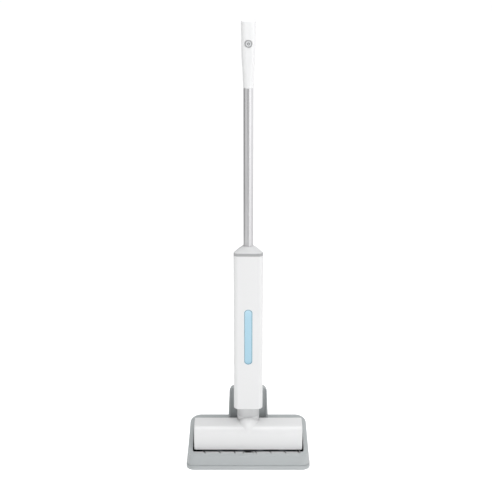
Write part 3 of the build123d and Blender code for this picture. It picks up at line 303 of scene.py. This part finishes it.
MATERIALS = {
    "tray_grey": plastic("tray_grey", (0.42, 0.443, 0.45), 0.42, 1500.0, 0.2, 0.02),
    "comb_grey": plastic("comb_grey", (0.60, 0.603, 0.61), 0.40, 1500.0, 0.15, 0.02),
    "white_shell": plastic("white_shell", (0.775, 0.778, 0.782), 0.34, 2200.0, 0.08, 0.008, 0.15),
    "grey_plastic": plastic("grey_plastic", (0.60, 0.605, 0.61), 0.38, 1500.0, 0.12, 0.02),
    "band_grey": plastic("band_grey", (0.39, 0.394, 0.40), 0.36, 1500.0, 0.12, 0.02),
    "dark_plastic": plastic("dark_plastic", (0.022, 0.022, 0.025), 0.55, 1200.0, 0.25, 0.1),
    "gasket_clear": plastic("gasket_clear", (0.84, 0.88, 0.90), 0.18, 1500.0, 0.03, 0.01, 0.4),
    "window_blue": window_plastic("window_blue", LENS_LOW.z, LENS_HIGH.z),
    "aluminium_tube": brushed_metal("aluminium_tube", (0.66, 0.66, 0.67), 0.30, (900, 900, 5)),
    "steel": brushed_metal("steel", (0.56, 0.56, 0.57), 0.26, (40, 1500, 1500)),
    "bronze": brushed_metal("bronze", (0.55, 0.38, 0.2), 0.42, (900, 900, 900)),
    "bezel_grey": brushed_metal("bezel_grey", (0.5, 0.505, 0.51), 0.34, (1500, 40, 1500), 0.85),
    "microfibre": microfibre("microfibre", (0.05, 0.052, 0.058), (0.16, 0.17, 0.19)),
    "rubber": rubber("rubber", (0.03, 0.03, 0.032)),
    "tank_plastic": clear_plastic("tank_plastic", (0.8, 0.87, 0.92)),
    "cell_wrap": plastic("cell_wrap", (0.05, 0.26, 0.16), 0.25, 1500.0, 0.05, 0.05, 0.4),
    "board_green": board("board_green", (0.01, 0.12, 0.05)),
    "button_grey": plastic("button_grey", (0.62, 0.63, 0.64), 0.32, 1800.0, 0.08, 0.01, 0.2),
}
# painted shade for the line round the window's edge
WINDOW_RIM_SHADE = plastic("window_edge_shade", (0.07, 0.17, 0.24), 0.2, 1500.0, 0.03, 0.01, 0.4)
SYMBOL_INK = plastic("symbol_ink", (0.09, 0.09, 0.095), 0.4, 1500.0, 0.03, 0.01)


# ---- mesh helpers -----------------------------------------------------------
def finish_mesh(obj, material, angle=35.0):
    """One material, smooth shading with creases kept above an angle."""
    obj.data.materials.clear()
    obj.data.materials.append(material)
    for polygon in obj.data.polygons:
        polygon.use_smooth = True
    obj.data.set_sharp_from_angle(angle=math.radians(angle))
    return obj


def bevelled(cad_node, width, segments=3, angle=32.0):
    """Copy of a CAD node with its sharp edges rounded, standing for the node."""
    source = NODES[cad_node]
    mesh = source.data.copy()
    work = bmesh.new()
    work.from_mesh(mesh)
    bmesh.ops.remove_doubles(work, verts=work.verts, dist=0.002 * MM)
    bmesh.ops.dissolve_limit(work, angle_limit=math.radians(0.4), verts=work.verts, edges=work.edges)
    work.to_mesh(mesh)
    work.free()
    obj = bpy.data.objects.new(cad_node + "_finished", mesh)
    bpy.context.scene.collection.objects.link(obj)
    modifier = obj.modifiers.new("round", "BEVEL")
    modifier.width = width
    modifier.segments = segments
    modifier.limit_method = "ANGLE"
    modifier.angle_limit = math.radians(angle)
    modifier.use_clamp_overlap = True
    modifier.harden_normals = False
    weights = obj.modifiers.new("weights", "WEIGHTED_NORMAL")
    weights.keep_sharp = True
    depsgraph = bpy.context.evaluated_depsgraph_get()
    final = bpy.data.meshes.new_from_object(obj.evaluated_get(depsgraph))
    obj.modifiers.clear()
    obj.data = final
    slot_name = slot_of(cad_node)
    finish_mesh(obj, MATERIALS[slot_name])
    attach(obj, source["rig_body"])
    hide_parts(cad_node)
    return obj


def slot_of(cad_node):
    """Material slot that the record gives a CAD node."""
    for entry in frame["record"]["subparts"]:
        if entry["node"] == cad_node:
            return entry["material_slot"]
    raise KeyError(cad_node)


def mesh_object(name, verts, faces, slot_name, body, angle=35.0, material=None):
    """Mesh piece from lists, with its material, body and slot."""
    mesh = bpy.data.meshes.new(name)
    mesh.from_pydata([tuple(v) for v in verts], [], faces)
    mesh.update()
    obj = bpy.data.objects.new(name, mesh)
    bpy.context.scene.collection.objects.link(obj)
    finish_mesh(obj, material or MATERIALS[slot_name], angle)
    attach(obj, body)
    return obj


# ---- CAD nodes that keep their shape ------------------------------------------
def paint_cad_nodes():
    """Gives every CAD node the procedural material of its slot."""
    for name, obj in NODES.items():
        obj.data.materials.clear()
        obj.data.materials.append(MATERIALS[slot_of(name)])
        for polygon in obj.data.polygons:
            polygon.use_smooth = True


# width in mm of the rounding on each node's sharp edges
ROUNDED = {
    "tray_shell": 1.1, "cradle_guides": 0.9, "wringer_comb": 0.45,
    "head_cover": 0.5, "head_chassis": 0.3, "belt_cover": 0.3,
    "neck_block": 0.7, "neck_collar": 0.7, "cap_ring": 0.5, "top_cap": 0.5,
    "front_shell": 0.35, "rear_shell": 0.35, "window_gasket": 0.25, "window_lens": 0.3,
    "fill_cap": 0.35, "charge_flap": 0.35,
    "handle_front": 0.3, "handle_rear": 0.3, "button_bezel": 0.3, "power_button": 0.35,
    "roller_end_cap": 0.4, "dirty_water_box": 0.3, "dirty_box_lid": 0.3,
    "wheel_left": 0.2, "wheel_right": 0.2,
}


# ---- rings and bands -------------------------------------------------------------
def bridge(first, second, count):
    """Faces between two rings of vertices that start at first and at second."""
    return [(first + j, first + (j + 1) % count, second + (j + 1) % count, second + j) for j in range(count)]


def flipped(faces):
    """Faces turned the other way."""
    return [face[::-1] for face in faces]


def upright_band(outer, inner, front, back, closed):
    """Thin band that faces forwards, between two outlines of (x, z) points."""
    verts = []
    for (outer_x, outer_z), (inner_x, inner_z) in zip(outer, inner):
        verts += [(outer_x, front, outer_z), (outer_x, back, outer_z)]
        verts += [(inner_x, back, inner_z), (inner_x, front, inner_z)]
    count = len(outer)
    faces = []
    for i in range(count if closed else count - 1):
        faces += bridge(4 * i, 4 * ((i + 1) % count), 4)
    if not closed:
        last = 4 * (count - 1)
        faces += [(3, 2, 1, 0), (last, last + 1, last + 2, last + 3)]
    return verts, faces


# ---- roller sleeve --------------------------------------------------------------
def sleeve_ring(x, radii, angles):
    """Points round the roller's axis."""
    y, z = SLEEVE_MID.y, SLEEVE_MID.z
    return [(x, y + r * math.cos(a), z + r * math.sin(a)) for r, a in zip(radii, angles)]


def pile_radius(turn, share, length):
    """Radius of the pile's surface, by angle and by share of the sleeve's length."""
    lift = np.random.default_rng(7).uniform(-0.25, 0.25, (len(share), len(turn)))
    spiral = np.sin(turn * TUFTS_AROUND + share * 9 * math.pi)
    rows = spiral * np.sin(share * length / TUFT_PITCH * 2 * math.pi)
    edge = np.clip(np.minimum(share, 1 - share) * length / PILE_EDGE, 0, 1)
    rounding = np.sqrt(np.clip(1 - (1 - edge) ** 2, 0, 1))
    hollows = PILE_HEIGHT * (0.5 - 0.5 * rows) * (0.6 + lift)
    return SLEEVE_RADIUS - PILE_EDGE * (1 - rounding) - hollows * rounding


def roller_pile():
    """Microfibre sleeve: a tube whose surface stands up in rows of small tufts."""
    around, along = 260, 330
    length = SLEEVE_HIGH.x - SLEEVE_LOW.x
    core_low, core_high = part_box("roller_core")
    bore = [(core_high.z - core_low.z) / 2] * around
    turn = np.linspace(0, 2 * math.pi, around, endpoint=False)
    share = np.linspace(0, 1, along)[:, None]
    radius = pile_radius(turn, share, length)
    rings = [sleeve_ring(SLEEVE_LOW.x + share[i, 0] * length, radius[i], turn) for i in range(along)]
    rings += [sleeve_ring(x, bore, turn) for x in (SLEEVE_LOW.x, SLEEVE_HIGH.x)]
    verts = [point for ring in rings for point in ring]
    starts = [around * i for i in range(along + 2)]
    faces = []
    for first, second in zip(starts[:along - 1], starts[1:along]):
        faces += bridge(first, second, around)
    faces += flipped(bridge(starts[0], starts[along], around))
    faces += bridge(starts[along - 1], starts[along + 1], around)
    faces += flipped(bridge(starts[along], starts[along + 1], around))
    pile_mesh = mesh_object("roller_pile", verts, faces, "microfibre", "roller", 80)
    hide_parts("roller_sleeve")
    return pile_mesh


# ---- window outline -------------------------------------------------------------
def window_outline(inset, steps=14):
    """Outline of the window moved inwards: straight sides and arched ends."""
    centre_x = (LENS_LOW.x + LENS_HIGH.x) / 2
    half = (LENS_HIGH.x - LENS_LOW.x) / 2 - inset
    radius = (half ** 2 + WINDOW_END_RISE ** 2) / (2 * WINDOW_END_RISE)
    reach = math.asin(half / radius)
    points = []
    for side, end_z in ((1, LENS_HIGH.z - inset), (-1, LENS_LOW.z + inset)):
        for i in range(steps + 1):
            angle = reach * (1 - 2 * i / steps)
            x = centre_x + side * radius * math.sin(angle)
            points.append((x, end_z - side * radius * (1 - math.cos(angle))))
    return points


def window_shade_line():
    """Darker line round the window just inside its edge: painted shade where the lens meets its gasket."""
    outer, inner = window_outline(LINE_MARGIN), window_outline(LINE_MARGIN + LINE_WIDTH)
    front, back = LENS_LOW.y - 0.15 * MM, LENS_LOW.y + 0.2 * MM
    verts, faces = upright_band(outer, inner, front, back, True)
    return mesh_object("window_shade_line", verts, faces, "window_blue", "column", material=WINDOW_RIM_SHADE)


# ---- power symbol ---------------------------------------------------------------
def symbol_arc(radius, steps=36):
    """Circle on the button with a gap at its top."""
    points = []
    for i in range(steps + 1):
        angle = math.pi / 2 + SYMBOL_GAP + (2 * math.pi - 2 * SYMBOL_GAP) * i / steps
        points.append((BUTTON_MID.x + radius * math.cos(angle), BUTTON_MID.z + radius * math.sin(angle)))
    return points


def power_symbol():
    """Raised ring with a gap and a bar on the push button."""
    front, back = BUTTON_FRONT_Y - 0.12 * MM, BUTTON_FRONT_Y + 0.15 * MM
    verts, faces = upright_band(symbol_arc(SYMBOL_OUTER), symbol_arc(SYMBOL_INNER), front, back, False)
    s = len(verts)
    half = SYMBOL_BAR_HALF
    low, high = SYMBOL_BAR
    corners = ((-half, low), (half, low), (half, high), (-half, high))
    for y in (front, back):
        verts += [(BUTTON_MID.x + x, y, BUTTON_MID.z + z) for x, z in corners]
    faces += [(s, s + 1, s + 2, s + 3), (s + 7, s + 6, s + 5, s + 4)]
    faces += flipped(bridge(s, s + 4, 4))
    return mesh_object("power_symbol", verts, faces, "band_grey", "power_button", material=SYMBOL_INK)


# ---- screw heads ----------------------------------------------------------------
def screw_rise(dx, dz, r):
    """Height of the dome, less the depth of the cross, at a place on the head."""
    rise = SCREW_DOME * (1 - (r / SCREW_RADIUS) ** 2)
    if min(abs(dx), abs(dz)) < 0.17 * SCREW_RADIUS and r < 0.7 * SCREW_RADIUS:
        rise -= SCREW_CROSS_DEPTH
    return rise


def screw_head(name, x, y, z, body):
    """Domed cross-recess screw head that faces backwards."""
    rings, around = 6, 48
    angles = [2 * math.pi * j / around for j in range(around)]
    verts = []
    for i in range(rings + 1):
        r = SCREW_RADIUS * (1 - i / (rings + 0.5))
        for angle in angles:
            dx, dz = r * math.cos(angle), r * math.sin(angle)
            verts.append((x + dx, y + screw_rise(dx, dz, r), z + dz))
    for angle in angles:
        verts.append((x + SCREW_RADIUS * math.cos(angle), y - 0.5 * MM, z + SCREW_RADIUS * math.sin(angle)))
    faces = []
    for i in range(rings):
        faces += flipped(bridge(i * around, (i + 1) * around, around))
    seat = (rings + 1) * around
    faces.append(tuple(range(rings * around, seat))[::-1])
    faces += bridge(0, seat, around)
    faces.append(tuple(range(seat, seat + around)))
    return mesh_object(name, verts, faces, "steel", body)


def add_screw_heads():
    """Heads on the screws of the rear shell and of the handle's back."""
    low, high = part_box("body_screws")
    places = [(x, z) for x in (low.x + SCREW_RADIUS, high.x - SCREW_RADIUS) for z in SHELL_SCREW_Z]
    for i, (x, z) in enumerate(places):
        screw_head(f"body_screw_head_{i}", x, high.y, z, "column")
    low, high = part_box("handle_screws")
    for i, z in enumerate((low.z + SCREW_RADIUS, high.z - SCREW_RADIUS)):
        screw_head(f"handle_screw_head_{i}", (low.x + high.x) / 2, high.y, z, "column")


# ---- stage ----------------------------------------------------------------------
def stage_material(name, colour, glow):
    """Pale matt floor that also glows a little, so that it stays white under the soft light."""
    material, tree, shader = new_material(name)
    coords = object_coords(tree)
    cloud = noise(tree, coords, 0.8, 2.0)
    tree.links.new(tint(tree, cloud, shade(colour, 0.995), colour), shader.inputs["Base Color"])
    shader.inputs["Roughness"].default_value = 0.95
    shader.inputs["Specular IOR Level"].default_value = 0.1
    shader.inputs["Emission Color"].default_value = (1, 1, 1, 1)
    shader.inputs["Emission Strength"].default_value = glow
    return material


def stage_mesh(name, verts, faces, material):
    """Stage piece from lists."""
    mesh = bpy.data.meshes.new(name)
    mesh.from_pydata(verts, [], faces)
    piece = bpy.data.objects.new(name, mesh)
    bpy.context.scene.collection.objects.link(piece)
    mesh.materials.append(material)
    return piece


def add_floor():
    """Large pale floor."""
    half = 30.0
    corners = [(-half, -half, 0), (half, -half, 0), (half, half, 0), (-half, half, 0)]
    stage_mesh("floor", corners, [(0, 1, 2, 3)], stage_material("stage", (0.5, 0.5, 0.5), 0.84))


def card_material(name, level):
    """Glowing card, dimmer towards its foot."""
    material, tree, shader = new_material(name)
    split = tree.nodes.new("ShaderNodeSeparateXYZ")
    tree.links.new(object_coords(tree), split.inputs["Vector"])
    glow = remap(tree, split.outputs["Z"], level * 0.8, level * 1.25, 0.05, 0.5)
    shader.inputs["Base Color"].default_value = (0, 0, 0, 1)
    shader.inputs["Specular IOR Level"].default_value = 0.0
    shader.inputs["Emission Color"].default_value = (1, 1, 1, 1)
    tree.links.new(glow, shader.inputs["Emission Strength"])
    return material


def reflection_card(name, start, end, level):
    """Upright studio card on an arc round the object, seen only by polished surfaces."""
    radius, top, steps = 1.5, 1.3, 12
    verts, faces = [], []
    for i in range(steps + 1):
        angle = math.radians(start + (end - start) * i / steps)
        x, y = radius * math.sin(angle), COLUMN_Y - radius * math.cos(angle)
        verts += [(x, y, 0.005), (x, y, top)]
    for i in range(steps):
        faces.append((2 * i, 2 * i + 2, 2 * i + 3, 2 * i + 1))
    card = stage_mesh(name, verts, faces, card_material(name, level))
    card.visible_camera = False
    card.visible_diffuse = False
    card.visible_shadow = False
    card.visible_transmission = False


def add_cards():
    """Cards of different greys give the tube its bands; angles run from the front to the right."""
    cards = (
        ("card_left", -175, -80, 0.34),
        ("card_front_left", -80, -36, 0.74),
        ("card_front", -36, 20, 0.50),
        ("card_front_right", 32, 62, 1.25),
        ("card_right", 62, 175, 0.88),
    )
    for name, start, end, level in cards:
        reflection_card(name, start, end, level)


def area_light(name, place, target, size, power):
    """Square soft box that points at a target."""
    data = bpy.data.lights.new(name, "AREA")
    data.shape = "SQUARE"
    data.size = size
    data.energy = power
    light = bpy.data.objects.new(name, data)
    bpy.context.scene.collection.objects.link(light)
    light.location = place
    light.rotation_euler = (Vector(target) - Vector(place)).to_track_quat("-Z", "Y").to_euler()


def add_lights():
    """White surroundings, a soft box above, a key from the front right and a low fill."""
    world = bpy.data.worlds.new("studio")
    bpy.context.scene.world = world
    world.use_nodes = True
    background = world.node_tree.nodes["Background"]
    background.inputs["Color"].default_value = (1, 1, 1, 1)
    background.inputs["Strength"].default_value = 0.36
    area_light("key", (1.8, -2.0, 1.0), (0, COLUMN_Y, 0.3), 2.0, 9)
    area_light("top", (0.15, -0.2, 2.5), (0, COLUMN_Y, 0.1), 1.8, 40)
    area_light("fill", (0.3, -2.4, 0.45), (0, COLUMN_Y, 0.05), 1.2, 7)


def add_camera():
    """Camera in front of the column, a little above it and looking down."""
    data = bpy.data.cameras.new("camera")
    data.sensor_width = 36.0
    data.lens = CAMERA_LENS
    camera = bpy.data.objects.new("camera", data)
    bpy.context.scene.collection.objects.link(camera)
    camera.location = (-0.0058, COLUMN_Y - CAMERA_DISTANCE, CAMERA_HEIGHT)
    camera.rotation_euler = (math.radians(90 - CAMERA_TILT), 0, 0)
    bpy.context.scene.camera = camera


# ---- build ----------------------------------------------------------------------
add_camera()
paint_cad_nodes()
for cad_node, rounding in ROUNDED.items():
    bevelled(cad_node, rounding * MM)
roller_pile()
window_shade_line()
power_symbol()
add_screw_heads()
add_floor()
add_cards()
add_lights()
bpy.context.scene.view_settings.view_transform = "Standard"
bpy.context.scene.view_settings.look = "None"
